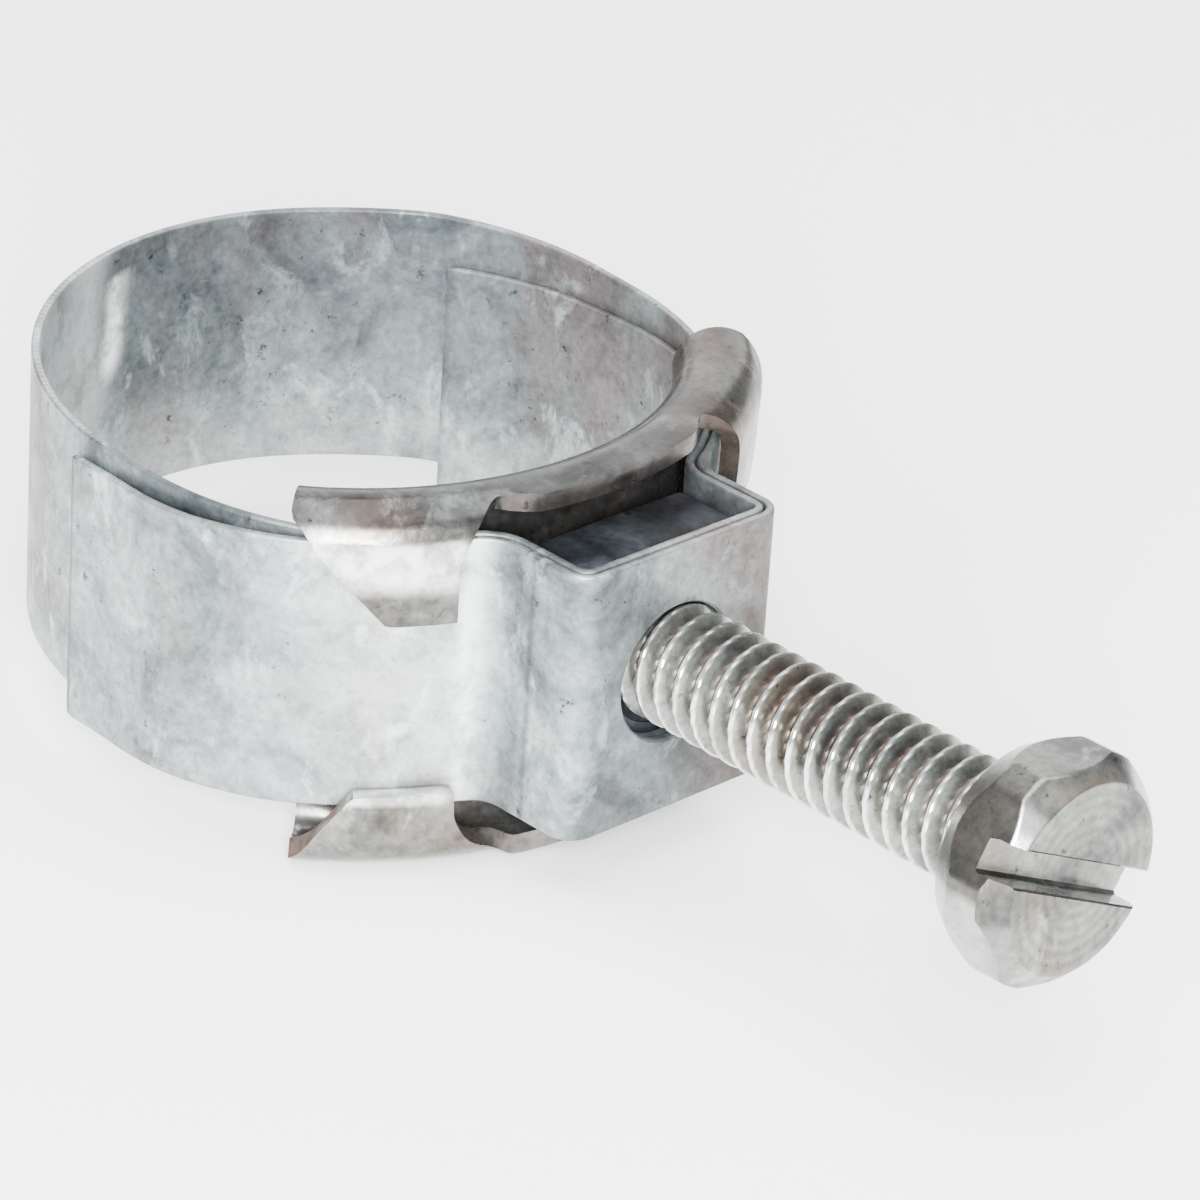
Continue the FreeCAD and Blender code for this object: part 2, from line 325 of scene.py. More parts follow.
def zinc(name, pale, mid, dark, stain, metallic=0.8, rough=(0.3, 0.5), blotch=0.6, scratches=0.5):
    """Old zinc plate: cloudy patches, bloom, stains, scratches, dark pits, and rust, painted shade and
    painted highlights where painted in.
    """
    n = Nodes(name)
    clouds = n.noise(150, 6, 0.62, distortion=0.8)
    tone = n.ramp(clouds, [(0.36, dark), (0.47, mid), (0.63, pale)])
    stained = n.ramp(n.noise(105, 4, 0.6, n.stretched((1.0, 1.0, 0.6))), [(0.5, 0.0), (0.64, 0.75)])
    tone = n.mix(stained, tone, stain)
    blots = n.ramp(n.noise(470, 5, 0.65), [(0.36, 0.5), (0.47, 0.86), (0.6, 1.0)])
    tone = n.mix(blotch, tone, blots, "MULTIPLY")
    bloom = n.ramp(n.noise(330, 5, 0.7, n.stretched((1.0, 1.0, 0.7)), 0.5), [(0.56, 0.0), (0.66, 0.55)])
    tone = n.mix(bloom, tone, tuple(min(1.0, 1.6 * c) for c in pale))
    grain = n.ramp(n.noise(2100, 3, 0.7), [(0.34, 0.3), (0.66, 0.72)])
    tone = n.mix(0.5, tone, grain, "OVERLAY")
    streak = n.noise(620, 4, 0.6, n.stretched((1.0, 1.0, 0.12)))
    tone = n.mix(0.4 * scratches, tone, n.ramp(streak, [(0.3, 0.15), (0.37, 1.0)]), "MULTIPLY")
    pits = n.ramp(n.noise(1150, 4, 0.75), [(0.32, 0.06), (0.39, 1.0)])
    where = n.ramp(n.noise(210, 2, 0.5), [(0.44, 0.0), (0.55, 1.0)])
    tone = n.mix(where, tone, n.mix(0.85, tone, pits, "MULTIPLY"))
    # painted shade: the shade attribute darkens the tone towards a cool grey
    shade = n.attribute("shade")
    tone = n.mix(shade, tone, n.mix(0.9, tone, (0.30, 0.31, 0.34), "MULTIPLY"))
    # painted highlight: the pale attribute, broken up by noise, mixes the tone towards near-white
    broken = n.ramp(n.noise(420, 5, 0.7), [(0.4, 0.35), (0.56, 1.0)])
    painted_highlight_share = n.maths("MULTIPLY", n.attribute("pale"), broken)
    tone = n.mix(painted_highlight_share, tone, (0.93, 0.97, 0.96))
    rust = n.attribute("rust")
    patchy = n.maths("MULTIPLY", rust, n.ramp(n.noise(900, 4, 0.65), [(0.3, 0.3), (0.6, 1.0)]))
    rust_colour = n.mix(n.noise(1500, 3), (0.05, 0.022, 0.014), (0.15, 0.08, 0.055))
    tone = n.mix(patchy, tone, rust_colour)
    n.link(tone, n.shader.inputs["Base Color"])
    roughness = n.ramp(n.noise(330, 4, 0.6), [(0.35, rough[0]), (0.65, rough[1])])
    roughness = n.mix(patchy, roughness, (0.75, 0.75, 0.75))
    n.link(roughness, n.shader.inputs["Roughness"])
    n.shader.inputs["Metallic"].default_value = metallic
    dents = n.bump(n.noise(120, 3, 0.5), 0.5, 0.3 * MM)
    fine = n.bump(n.noise(1300, 5, 0.7), 0.3, 0.035 * MM, dents)
    n.link(n.bump(streak, 0.15 * scratches, 0.02 * MM, fine), n.shader.inputs["Normal"])
    return n.material


strip_zinc = zinc("strip_zinc", (0.37, 0.43, 0.42), (0.23, 0.27, 0.27), (0.115, 0.135, 0.14),
                  (0.21, 0.17, 0.17), metallic=0.75, rough=(0.42, 0.6))
bridge_zinc = zinc("bridge_zinc", (0.22, 0.22, 0.21), (0.12, 0.12, 0.11), (0.045, 0.045, 0.043),
                   (0.12, 0.085, 0.065), metallic=0.85, rough=(0.16, 0.32), blotch=0.8, scratches=0.8)
# the nut's zinc is set nearly black: painted shade for the nut sitting in the tower's dark hollow
nut_zinc = zinc("nut_zinc", (0.045, 0.052, 0.06), (0.022, 0.027, 0.034), (0.01, 0.012, 0.016),
                (0.026, 0.02, 0.022), metallic=0.8, rough=(0.4, 0.65), blotch=0.8)
screw_zinc = zinc("screw_zinc", (0.30, 0.315, 0.28), (0.20, 0.21, 0.19), (0.10, 0.105, 0.105),
                  (0.20, 0.16, 0.12), metallic=0.92, rough=(0.18, 0.32), blotch=0.35, scratches=0.2)


# ======================= the strip =======================

class Walk:
    """Points and normals along a bent sheet's line."""

    def __init__(self, start, heading):
        self.point = Vector(start)
        self.heading = heading
        self.step = STATION_STEP
        self.stations = []

    def add(self):
        angle = math.radians(self.heading)
        self.stations.append((self.point.x, self.point.y, -math.sin(angle), math.cos(angle)))

    def straight(self, length):
        count = max(1, round(length / (2 * self.step)))
        angle = math.radians(self.heading)
        move = Vector((math.cos(angle), math.sin(angle))) * (length / count)
        for _ in range(count):
            self.add()
            self.point = self.point + move
        return self

    def bend(self, radius, degrees):
        """Turn left by a positive angle, right by a negative one."""
        side = 1 if degrees > 0 else -1
        count = max(4, round(radius * math.radians(abs(degrees)) / (2 * self.step)))
        count = max(count, round(abs(degrees) / 7))
        angle = math.radians(self.heading + 90 * side)
        centre = self.point + Vector((math.cos(angle), math.sin(angle))) * radius
        first = self.heading - 90 * side
        for i in range(count):
            self.heading = first + degrees * i / count + 90 * side
            self.add()
            turn = math.radians(first + degrees * (i + 1) / count)
            self.point = centre + Vector((math.cos(turn), math.sin(turn))) * radius
        self.heading = first + degrees + 90 * side
        return self

    def finish(self):
        self.add()
        return self.stations


HALF = STRIP_THICKNESS / 2
INNER_LINE = HOSE_RADIUS + HALF
OUTER_LINE = INNER_LINE + PLY_PITCH
FOOT_ANGLE = math.degrees(math.asin((TOWER_HALF_WIDTH - HALF + FOOT_RADIUS) / (OUTER_LINE + FOOT_RADIUS)))
FOOT_Y = -FRONT_DROP - OUTER_LINE * math.cos(math.radians(FOOT_ANGLE))


def at_angle(radius, degrees, drop=0.0):
    turn = math.radians(degrees)
    return Vector((radius * math.cos(turn), radius * math.sin(turn) - drop))


def walk_tower(path, inset):
    """Round the tower from the left foot to the right foot, inset from the outer turn's line."""
    centre_y = -FRONT_DROP - (OUTER_LINE + FOOT_RADIUS) * math.cos(math.radians(FOOT_ANGLE))
    wall = centre_y - (TOWER_FRONT + HALF + CORNER_RADIUS)
    front = 2 * (TOWER_HALF_WIDTH - HALF - CORNER_RADIUS)
    path.bend(FOOT_RADIUS + inset, FOOT_ANGLE - 90)
    path.step = WALL_STEP
    path.straight(wall)
    path.step = STATION_STEP
    path.bend(CORNER_RADIUS - inset, 90)
    path.straight(front)
    path.bend(CORNER_RADIUS - inset, 90)
    path.straight(wall)
    path.bend(FOOT_RADIUS + inset, FOOT_ANGLE - 90)


def walk_strip():
    """The whole strip's line, from its outer end at the left to its inner end at the right."""
    path = Walk(at_angle(OUTER_LINE, OUTER_TAIL_ANGLE), OUTER_TAIL_ANGLE + 90)
    path.bend(OUTER_LINE, 180 - OUTER_TAIL_ANGLE).straight(FRONT_DROP).bend(OUTER_LINE, 90 - FOOT_ANGLE)
    outer_tail = len(path.stations)
    walk_tower(path, 0)
    outer_tower = len(path.stations)
    path.bend(OUTER_LINE, 90 - FOOT_ANGLE).straight(FRONT_DROP).bend(OUTER_LINE, INNER_TAIL_ANGLE + 1)
    sweep = math.radians(EASE_SWEEP)
    shift = PLY_PITCH * (2 + math.sqrt(2 + 2 * math.cos(sweep))) / (2 * (1 - math.cos(sweep)))
    tilt = math.degrees(math.atan2(shift * math.sin(sweep), shift + shift * math.cos(sweep)))
    path.bend(OUTER_LINE - shift, tilt).bend(INNER_LINE + shift, EASE_SWEEP - tilt)
    path.bend(INNER_LINE, 179 - INNER_TAIL_ANGLE - EASE_SWEEP)
    path.straight(FRONT_DROP).bend(INNER_LINE, 90 - FOOT_ANGLE)
    loop = len(path.stations)
    walk_tower(path, PLY_PITCH)
    inner_tower = len(path.stations)
    path.bend(INNER_LINE, 90 - FOOT_ANGLE).straight(FRONT_DROP).bend(INNER_LINE, INNER_TAIL_ANGLE)
    stations = path.finish()
    return stations, (outer_tail, outer_tower, loop, inner_tower, len(stations))


def strip_section():
    """The strip's outline as (across, up) points: across its thickness and up its width."""
    round_off = 0.14 * MM
    rows = 26
    points = []
    for side in (1, -1):
        for i in range(rows + 1):
            up = side * (-1 + 2 * i / rows) * (STRIP_WIDTH / 2 - round_off)
            points.append((side * HALF, up))
        for k in range(1, 5):
            turn = math.radians(90 * k / 5)
            corner = (STRIP_WIDTH / 2 - round_off, HALF - round_off)
            across = side * (corner[1] + round_off * math.cos(turn))
            up = side * (corner[0] + round_off * math.sin(turn))
            points.append((across, up))
        for k in range(1, 5):
            turn = math.radians(90 - 90 * k / 5)
            across = -side * (HALF - round_off + round_off * math.cos(turn))
            up = side * (STRIP_WIDTH / 2 - round_off + round_off * math.sin(turn))
            points.append((across, up))
    return points


def strip_rise(index, marks, x, y):
    """How far the strip's middle is above the tower's middle."""
    outer_tail, outer_tower, loop, inner_tower, _ = marks
    past_foot = max(y - FOOT_Y, 0.0)
    if index < outer_tail or index >= inner_tower:
        return -TAIL_FALL * past_foot
    if outer_tower <= index < loop:
        ease = smooth_step(past_foot, 0.0, 3.5 * MM)
        return LOOP_RISE * past_foot + LOOP_LEAN * x * ease
    return 0.0


def make_band():
    stations, marks = walk_strip()
    section = strip_section()
    vertices = []
    last = len(stations) - 1
    for index, (x, y, nx, ny) in enumerate(stations):
        rise = strip_rise(index, marks, x, y)
        turn = math.degrees(math.atan2(y, x)) % 360
        shift = 0.0
        if index < marks[0]:
            shift = -PLY_SPREAD * smooth_step(turn, 176, 205) * (1 - smooth_step(turn, 214, 240))
        shrink = 1.0 - 0.35 * (index in (0, last))
        for across, up in section:
            flat = across * shrink + shift
            edge = 1.0 - 0.008 * (index in (0, last))
            vertices.append((x + nx * flat, y + ny * flat, rise + up * edge))
    faces = []
    width = len(section)
    for index in range(last):
        for k in range(width):
            a = index * width + k
            b = index * width + (k + 1) % width
            faces.append((b, a, a + width, b + width))
    faces.append(tuple(range(width)))
    faces.append(tuple(reversed(range(last * width, (last + 1) * width))))
    band = new_piece("band_strip", vertices, faces, ["band"], strip_zinc)
    wall = STRIP_THICKNESS + PLY_PITCH
    lip = 0.12 * MM
    profile = [
        (HOLE_RADIUS + lip + 0.5 * MM, TOWER_FRONT - 0.5 * MM),
        (HOLE_RADIUS + lip, TOWER_FRONT),
        (HOLE_RADIUS, TOWER_FRONT + lip),
        (HOLE_RADIUS, TOWER_FRONT + wall + 0.5 * MM),
    ]
    cut(band, lathe("hole_cutter", profile, HOLE_CENTRE), CREASE_ANGLE)

    def shaded(co, normal):
        """Painted shade inside the ring and on the tower, darkest between the turns and at the two ends."""
        middle_y = 0.0 if co.y > 0 else max(co.y, -FRONT_DROP)
        around = math.hypot(co.x, co.y - middle_y)
        turn = math.degrees(math.atan2(co.y - middle_y, co.x)) % 360
        inward = -(co.x * normal.x + (co.y - middle_y) * normal.y) / around
        high = smooth_step(co.z, -5.5 * MM, 5.5 * MM)
        if co.y > FOOT_Y:
            # painted shade inside the ring, deeper at the top and back, with a painted shadow at the inner
            # end
            if inward > 0.2:
                back = smooth_step(co.y, -4 * MM, 10 * MM) * (1 - smooth_step(turn, 96, 112))
                end = 0.8 * bell(turn, INNER_TAIL_ANGLE, 0.7)
                return min(1.0, inward * (0.95 * high * (0.45 + 0.55 * back)) + end)
            # painted shade on the inner turn where the outer ply covers it
            covered = smooth_step(turn, 174, 178) * (1 - smooth_step(turn, 242, 246))
            if around < HOSE_RADIUS + STRIP_THICKNESS + 0.1 * MM:
                return 0.25 + 0.75 * covered
            # painted shade on the outer left, and a painted shadow at the outer end
            return 0.3 * smooth_step(-co.x, 9 * MM, 16 * MM) + 0.9 * bell(turn, OUTER_TAIL_ANGLE, 0.55)
        # painted shade inside the tower
        if inward > 0.2 or normal.y > 0.5:
            return 0.85
        # painted shade on the tower's front, deeper to the right and low down
        front = min(1.0, 0.47 + 0.3 * smooth_step(co.x, -1 * MM, 6 * MM) + 0.38 * (1 - high))
        side = 0.4
        # painted shade on the left wall, with two lines of painted shade for a crease
        if co.x < 0:
            side = 0.3 + 0.4 * bell(co.y, WALL_CREASE_SHADE, 0.75 * MM) + 0.6 * bell(co.y, THIN_CREASE_SHADE, 0.2 * MM)
        share = smooth_step(-normal.y, 0.15, 0.95)
        return share * front + (1 - share) * side

    def pale(co, normal):
        """Painted highlights along the left foot, on the strip beside it, and in a streak inside."""
        turn = math.degrees(math.atan2(co.y, co.x)) % 360
        # painted highlights inside the ring: a narrow streak, and broader painted light over the back half,
        # low down and past the streak
        if co.x * normal.x + co.y * normal.y < 0:
            streak = bell(turn, RING_HIGHLIGHT_TURN - 0.5 * (co.z - 5 * MM) / MM, 2.4)
            streak *= smooth_step(co.z, 1 * MM, 3.5 * MM)
            broad = 0.3 * smooth_step(turn, 98, 108) + 0.22 * smooth_step(-co.z, 1 * MM, 6 * MM)
            broad *= co.y > 0
            return max(min(1.0, 1.5 * streak) * (co.z < 7.6 * MM), broad)
        # painted highlight along the left foot, and weaker painted light on the strip beside it
        beside = smooth_step(turn, 205, 238) * (1 - smooth_step(turn, 246, 249))
        foot = bell(turn, FOOT_HIGHLIGHT_TURN, 2.2) * (co.x < 0)
        return max(0.26 * beside, 0.8 * foot)

    def rusty(co, normal):
        """A brown tint on the right of the tower's front and low on it."""
        share = smooth_step(-normal.y, 0.15, 0.95) * (co.y < FOOT_Y)
        right = 0.44 * smooth_step(co.x, -2 * MM, 5 * MM)
        low = 0.12 * smooth_step(-co.z, 2 * MM, 7 * MM)
        return share * (right + low)

    paint(band, shade=shaded, pale=pale, rust=rusty)
    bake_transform(band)
    return band


# ======================= the bridge =======================

def bridge_point(angle, reach, half):
    """A point of the bridge's middle surface and its normal; half is 1 for the upper rim, else -1."""
    roll = UPPER_ROLL if half > 0 else LOWER_ROLL
    middle = BRIDGE_INNER + BRIDGE_THICKNESS / 2
    bend_radius = ROLL_RADIUS + BRIDGE_THICKNESS / 2
    bend = RIM_BEND + (CLAW_BEND - RIM_BEND) * smooth_step(abs(angle), CLAW_START - 10, CLAW_START - 1)
    if reach <= roll:
        radius, height = middle, reach
        normal_r, normal_z = 1.0, 0.0
    else:
        turn = min((reach - roll) / bend_radius, math.radians(bend))
        radius = middle + bend_radius * (1 - math.cos(turn))
        height = roll + bend_radius * math.sin(turn)
        beyond = reach - roll - bend_radius * math.radians(bend)
        if beyond > 0:
            radius += beyond * math.sin(turn)
            height += beyond * math.cos(turn)
        normal_r, normal_z = math.cos(turn), -math.sin(turn)
    a = math.radians(270 + angle)
    point = Vector((radius * math.cos(a), radius * math.sin(a), half * height))
    normal = Vector((normal_r * math.cos(a), normal_r * math.sin(a), half * normal_z))
    lean = Matrix.Rotation(math.radians(-BRIDGE_LEAN), 3, "Y")
    return lean @ point, lean @ normal


def rim_reach(angle, half):
    """How far the sheet reaches between the claws, with a fillet beside each claw."""
    roll = UPPER_ROLL if half > 0 else LOWER_ROLL
    bend_radius = ROLL_RADIUS + BRIDGE_THICKNESS / 2
    reach = roll + bend_radius * math.radians(RIM_BEND) + RIM_LENGTH
    reach -= RIM_DIP * bell(abs(angle), CLAW_START - 6.5, 3.5) * (half > 0)
    gap = (CLAW_START - abs(angle)) * math.radians(1) * (BRIDGE_INNER + BRIDGE_THICKNESS)
    if gap < RIM_FILLET:
        reach += RIM_FILLET - math.sqrt(max(RIM_FILLET ** 2 - (RIM_FILLET - gap) ** 2, 0.0))
    return reach


def claw_reach(angle, half):
    """How far a claw reaches, with its outer side cut back."""
    roll = UPPER_ROLL if half > 0 else LOWER_ROLL
    flat = UPPER_CLAW if half > 0 else LOWER_CLAW
    bend_radius = ROLL_RADIUS + BRIDGE_THICKNESS / 2
    full = roll + bend_radius * math.radians(CLAW_BEND) + flat
    from_side = (BRIDGE_SPAN - abs(angle)) * math.radians(1) * CLAW_ARC
    cut_height = flat + bend_radius * math.asin(CLAW_CUT_START / bend_radius)
    return full - max(cut_height - from_side / CLAW_CUT_SLOPE, 0.0)


def make_bridge():
    """A sheet folded from its flat outline: a plate, a rolled rim and two claws each way."""
    columns = {}
    claw_columns = 30
    rim_columns = 90
    for i in range(claw_columns + 1):
        share = i / claw_columns
        columns.setdefault(-1, []).append(-BRIDGE_SPAN + (BRIDGE_SPAN - CLAW_START) * share)
        columns.setdefault(1, []).append(CLAW_START + (BRIDGE_SPAN - CLAW_START) * share)
    columns[0] = [-CLAW_START * math.cos(math.pi * i / rim_columns) for i in range(rim_columns + 1)]
    rows = 44
    claw_rows = 26
    half_thick = BRIDGE_THICKNESS / 2
    index_of = {}
    vertices = []

    def vertex(angle, reach, half, side, key):
        if key not in index_of:
            point, normal = bridge_point(angle, reach, half)
            index_of[key] = len(vertices)
            vertices.append(point + normal * half_thick * side)
        return index_of[key]

    faces = []
    edges_used = {}

    def shared_at(angle, half):
        """Where a claw's rows take over from the plate's, below its slanted edge."""
        return min(rim_reach(CLAW_START, half), 0.86 * claw_reach(angle, half))

    def reach_at(angle, half, row):
        if row <= rows:
            top = rim_reach(angle, half) if abs(angle) < CLAW_START else shared_at(angle, half)
            return top * row / rows
        start = shared_at(angle, half)
        return start + (claw_reach(angle, half) - start) * (row - rows) / claw_rows

    for zone, angles in columns.items():
        top_row = rows if zone == 0 else rows + claw_rows
        for half in (1, -1):
            for c in range(len(angles) - 1):
                for row in range(top_row):
                    corners = [(c, row), (c + 1, row), (c + 1, row + 1), (c, row + 1)]
                    quads = []
                    for side in (1, -1):
                        quad = []
                        for column, r in corners:
                            angle = round(angles[column], 9)
                            key = (angle, 0 if r == 0 else r * half, side)
                            quad.append(vertex(angle, reach_at(angle, half, r), half, side, key))
                        quads.append(quad)
                    outer, inner = quads
                    if half < 0:
                        outer = outer[::-1]
                        inner = inner[::-1]
                    faces.append(tuple(outer))
                    faces.append(tuple(reversed(inner)))
                    for k in range(4):
                        a, b = outer[k], outer[(k + 1) % 4]
                        pair = (inner[k], inner[(k + 1) % 4])
                        if (b, a) in edges_used:
                            del edges_used[(b, a)]
                        else:
                            edges_used[(a, b)] = pair
    for (a, b), (c, d) in edges_used.items():
        faces.append((b, a, c, d))
    bridge = new_piece("bridge_plate", vertices, faces, ["bridge"], bridge_zinc)
    bevel = bridge.modifiers.new("edges", "BEVEL")
    bevel.width = 0.14 * MM
    bevel.segments = 3
    bevel.limit_method = "ANGLE"
    bevel.angle_limit = math.radians(50)
    bake_modifiers(bridge, CREASE_ANGLE)

    def rusty(co, normal):
        """The sheared edges of the claws and the rim have lost their zinc."""
        around = math.hypot(co.x, co.y)
        along = abs(-co.y * normal.x + co.x * normal.y) / around
        outward = (co.x * normal.x + co.y * normal.y) / around
        worn = 0.28 + 0.45 * smooth_step(-co.x, 12.2 * MM, 13.8 * MM)
        sheared = worn * smooth_step(along, 0.25, 0.6) * (around > 18.4 * MM)
        corner = 0.9 * (co.z < 0) * (co.x < -13 * MM) * smooth_step(along, 0.15, 0.45)
        lip = 0.16 * smooth_step(outward, 0.8, 0.98) * (abs(co.z) > 8.2 * MM) * (around < 20.3 * MM)
        return min(1.0, max(sheared, corner) + lip)

    def pale(co, normal):
        """A painted highlight band across the left claws."""
        left = smooth_step(-co.x, 9.0 * MM, 9.6 * MM) * (1 - smooth_step(-co.x, 15.0 * MM, 15.8 * MM))
        outside = math.hypot(co.x, co.y) > CLAW_OUTSIDE
        # painted highlight high on the upper claws, and low on the lower claws
        upper = smooth_step(co.z, 4.7 * MM, 6.2 * MM) * (1 - smooth_step(co.z, 7.3 * MM, 8.1 * MM))
        lower = 0.8 * smooth_step(co.z, -6.6 * MM, -6.2 * MM)
        return left * outside * (upper if co.z > 0 else lower)

    def shaded(co, normal):
        """Painted shade over the rolls, on the plate behind the tower and at the upper claws' tips."""
        # painted shade over the tops of the rolls
        roll = smooth_step(co.z, 8.0 * MM, 8.9 * MM) * (1 - 0.5 * smooth_step(co.x, 2 * MM, 10 * MM))
        around = math.hypot(co.x, co.y)
        facing = (co.x * normal.x + co.y * normal.y) / around > 0.2
        # painted shade on the plate in the tower's hollow
        behind = 0.8 * (1 - smooth_step(abs(co.x), 6 * MM, 9 * MM))
        behind *= 1 - smooth_step(abs(co.z), 7.4 * MM, 8.4 * MM)
        # painted shade low on the upper claws' outer faces
        low = 0.3 * (1 - smooth_step(co.z, 3.9 * MM, 5.4 * MM)) * (co.z > 0) * (around > CLAW_OUTSIDE)
        return max(roll, behind * facing, low)

    paint(bridge, rust=rusty, pale=pale, shade=shaded)
    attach(bridge, "strap")
    return bridge


# ======================= the screw =======================

def thread_radius(y, turn, fade):
    """Radius of a right-hand thread at a place along and round the screw."""
    phase = (y / PITCH + turn / (2 * math.pi)) % 1.0
    from_crest = abs(phase - 0.5) * 2
    height = min(max((THREAD_ROOT - from_crest) / (THREAD_ROOT - THREAD_CREST), 0.0), 1.0)
    return MINOR + (MAJOR - MINOR) * height * fade


def hexagon_radius(turn, flats):
    sector = math.radians(60)
    off = (turn + sector / 2) % sector - sector / 2
    return min(flats / 2 / math.cos(off), HEAD_CORNER)


def make_screw():
    """Slotted hex-head screw as one closed skin: tip, thread, shank, head."""
    sides = 144
    tip = screw_high.y
    base = screw_low.y + HEAD_HEIGHT
    top = screw_low.y
    rings = []
    turns = [math.radians(HEAD_TURN) + 2 * math.pi * i / sides for i in range(sides)]
    rings.append([(0.15 * MM, tip)] * sides)
    rings.append([(MINOR - 0.5 * MM, tip)] * sides)
    step = PITCH / 22
    count = int((tip - base) / step)
    for i in range(1, count):
        y = tip - i * step
        start = smooth_step(tip - y, 0.1 * MM, 1.1 * MM)
        end = smooth_step(y - base, 0.35 * MM, 1.3 * MM)
        cone = MINOR - 0.45 * MM + (tip - y)
        ring = []
        for turn in turns:
            radius = thread_radius(y, turn, start * end)
            radius = min(radius, cone)
            fillet = 0.45 * MM * max(0.0, 1 - (y - base) / (0.5 * MM)) ** 2
            ring.append((radius + fillet, y))
        rings.append(ring)
    head = [hexagon_radius(turn - math.radians(HEAD_TURN), HEAD_FLATS) for turn in turns]
    edge = 0.06 * MM
    shank = MINOR + 0.5 * MM
    seat = [(r, base - SEAT_SLOPE * (r - HEAD_SEAT)) for r in head]
    face = [(r, top + FACE_SLOPE * (r - HEAD_FACE)) for r in head]
    for radius, y in ((shank, base), (HEAD_SEAT - 3 * edge, base), (HEAD_SEAT - edge, base),
                      (HEAD_SEAT + 0.5 * edge, base - edge), (HEAD_SEAT + 1.5 * edge, base - 2.6 * edge)):
        rings.append([(radius, y)] * sides)
    for inset, lift in ((1.3, 1.9), (0.4, 0.5), (0.0, -0.6), (0.0, -2.5)):
        rings.append([(r - inset * edge, y + lift * edge) for r, y in seat])
    for inset, lift in ((0.0, 2.5), (0.0, 0.8), (0.6, -0.5), (2.0, -2.0)):
        rings.append([(r - inset * edge, y + lift * edge) for r, y in face])
    for inset, lift in ((-2.0, 2.0), (-0.8, 0.8), (0.4, 0.1), (2.0, 0.0)):
        rings.append([(HEAD_FACE - inset * edge, top + lift * edge)] * sides)
    marks = 40
    for i in range(marks + 1):
        radius = 4.3 * MM - 4.15 * MM * i / marks
        groove = FACE_GROOVE * (i % 2) * (0.4 + 0.6 * math.sin(1.7 * i) ** 2)
        rings.append([(radius, top + groove)] * sides)
    vertices = []
    for ring in rings:
        for (radius, y), turn in zip(ring, turns):
            vertices.append((radius * math.cos(turn), y, SCREW_HEIGHT + radius * math.sin(turn)))
    faces = [tuple(range(sides)), tuple(reversed(range(len(vertices) - sides, len(vertices))))]
    for r in range(len(rings) - 1):
        for i in range(sides):
            a = r * sides + i
            b = r * sides + (i + 1) % sides
            faces.append((b, a, a + sides, b + sides))
    screw = new_piece("screw_with_head", vertices, faces, ["screw"], screw_zinc, SCREW_CREASE)
    cut(screw, slot_cutter(top), SCREW_CREASE)

    def place(co, normal):
        """Which part of the screw this is, and its direction round the axis in degrees."""
        turn = math.degrees(math.atan2(co.z - SCREW_HEIGHT, co.x)) % 360
        radius = math.hypot(co.x, co.z - SCREW_HEIGHT)
        if co.y > base + 0.05 * MM:
            return "thread", turn, radius
        if normal.y < -0.93:
            return "face" if co.y < top + 0.5 * MM else "slot_floor", turn, radius
        across = normal.x * math.cos(math.radians(SLOT_TURN)) + normal.z * math.sin(math.radians(SLOT_TURN))
        off = abs((co.z - SCREW_HEIGHT) * math.cos(math.radians(SLOT_TURN))
                  - co.x * math.sin(math.radians(SLOT_TURN)))
        if abs(across) < 0.2 and off < SLOT_WIDTH / 2 + 0.12 * MM and abs(normal.y) < 0.8:
            return "slot_wall", turn, radius
        if normal.y < -0.3:
            return "chamfer", turn, radius
        return "side", turn, radius

    def within(turn, low, high, soft=4):
        return smooth_step(turn, low - soft, low + soft) * (1 - smooth_step(turn, high - soft, high + soft))

    def rusty(co, normal):
        """Brown in the thread's upper roots, along the head's top edge and under its face."""
        part, turn, radius = place(co, normal)
        if part == "thread":
            root = 1 - smooth_step(radius, MINOR, MINOR + 0.3 * MM)
            return (0.05 + 0.42 * within(turn, 60, 175, 25)) * root
        if part == "chamfer":
            upper = 0.6 * within(turn, 66, 116) * (1 - smooth_step(radius, 4.95 * MM, 5.2 * MM))
            return upper + 0.5 * within(turn, 255, 320)
        if part == "side":
            return 0.22 * within(turn, 118, 178, 1)
        return 0.0

    def shaded(co, normal):
        """Painted shade over the head, darkest on one flat and on the slot's lower wall, and in the
        thread's roots.
        """
        part, turn, radius = place(co, normal)
        if part == "thread":
            # painted shade in the thread's roots and along its upper side
            root = 1 - smooth_step(radius, MINOR + 0.1 * MM, MAJOR - 0.1 * MM)
            deep = root * (0.25 + 0.5 * within(turn, 95, 200, 20))
            return min(1.0, deep + 0.6 * within(turn, 60, 125, 20))
        if part == "face":
            # painted shade over the head's face, in rings at the turning marks' spacing
            return 0.36 + 0.36 * (0.5 + 0.5 * math.cos(2 * math.pi * radius / TURNED_MARK))
        if part == "slot_wall":
            # painted shade on the slot's walls, deepest on the lower one
            return 0.95 if normal.z > 0 else 0.5
        if part == "slot_floor":
            return 0.42
        if part == "side":
            # painted shade on the head's flats, deepest on one
            return 0.35 + 0.6 * within(turn, 118, 178, 1)
        return 0.4 + 0.4 * within(turn, 150, 195)

    def pale(co, normal):
        """Painted highlights on the thread crests and on a few facets of the head."""
        part, turn, radius = place(co, normal)
        if part == "thread":
            # painted highlight along the thread's crests
            crest = smooth_step(radius, MAJOR - 0.12 * MM, MAJOR - 0.03 * MM)
            return crest * (0.2 + 0.6 * within(turn, 120, 300, 30))
        if part == "chamfer":
            return 0.35 * within(turn, 126, 150) + 0.12 * within(turn, 190, 240) + 0.3 * within(turn, 3, 50)
        if part == "side":
            return 0.2 * within(turn, 178, 238, 1)
        return 0.0

    paint(screw, rust=rusty, shade=shaded, pale=pale)
    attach(screw, "screw_body")
    return screw


